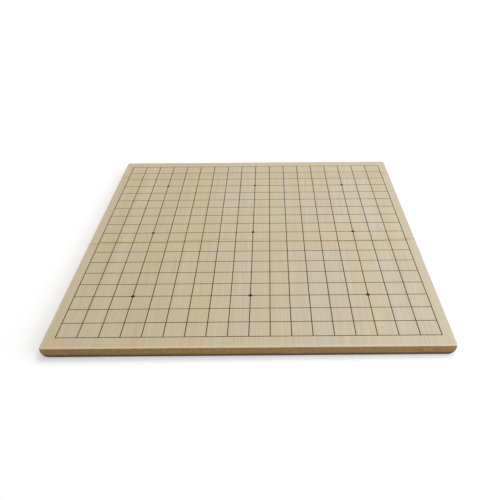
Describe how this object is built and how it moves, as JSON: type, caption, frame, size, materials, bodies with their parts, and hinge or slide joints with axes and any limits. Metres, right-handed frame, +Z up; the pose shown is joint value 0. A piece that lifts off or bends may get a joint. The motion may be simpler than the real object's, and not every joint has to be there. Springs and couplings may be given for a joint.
{
  "type": "weiqi board",
  "caption": "Flat playing board for weiqi, laminated bamboo strips with an engraved and lacquered line grid and star points, long sides rounded under for lifting.",
  "frame": {"origin": "centre of the board's outline on the plane of its flat underside", "axes": "+Z up out of the playing surface, +Y away from the player along the strips' grain, +X to the player's right"},
  "size_m": [0.42, 0.461, 0.012],
  "materials": {
    "face_bamboo": "satin",
    "back_bamboo": "satin",
    "line_lacquer": "satin",
    "star_lacquer": "satin"
  },
  "bodies": {
    "root": {"face_strip_01": "face_bamboo", "face_strip_02": "face_bamboo", "face_strip_03": "face_bamboo", "face_strip_04": "face_bamboo", "face_strip_05": "face_bamboo", "face_strip_06": "face_bamboo", "face_strip_07": "face_bamboo", "face_strip_08": "face_bamboo", "face_strip_09": "face_bamboo", "face_strip_10": "face_bamboo", "face_strip_11": "face_bamboo", "face_strip_12": "face_bamboo", "face_strip_13": "face_bamboo", "face_strip_14": "face_bamboo", "face_strip_15": "face_bamboo", "face_strip_16": "face_bamboo", "face_strip_17": "face_bamboo", "face_strip_18": "face_bamboo", "face_strip_19": "face_bamboo", "face_strip_20": "face_bamboo", "face_strip_21": "face_bamboo", "back_strip_01": "back_bamboo", "back_strip_02": "back_bamboo", "back_strip_03": "back_bamboo", "back_strip_04": "back_bamboo", "back_strip_05": "back_bamboo", "back_strip_06": "back_bamboo", "back_strip_07": "back_bamboo", "back_strip_08": "back_bamboo", "back_strip_09": "back_bamboo", "back_strip_10": "back_bamboo", "back_strip_11": "back_bamboo", "back_strip_12": "back_bamboo", "back_strip_13": "back_bamboo", "back_strip_14": "back_bamboo", "back_strip_15": "back_bamboo", "back_strip_16": "back_bamboo", "back_strip_17": "back_bamboo", "back_strip_18": "back_bamboo", "back_strip_19": "back_bamboo", "back_strip_20": "back_bamboo", "back_strip_21": "back_bamboo", "back_strip_22": "back_bamboo", "grid_line_inlay": "line_lacquer", "star_point_inlay": "star_lacquer"}
  },
  "joints": []
}
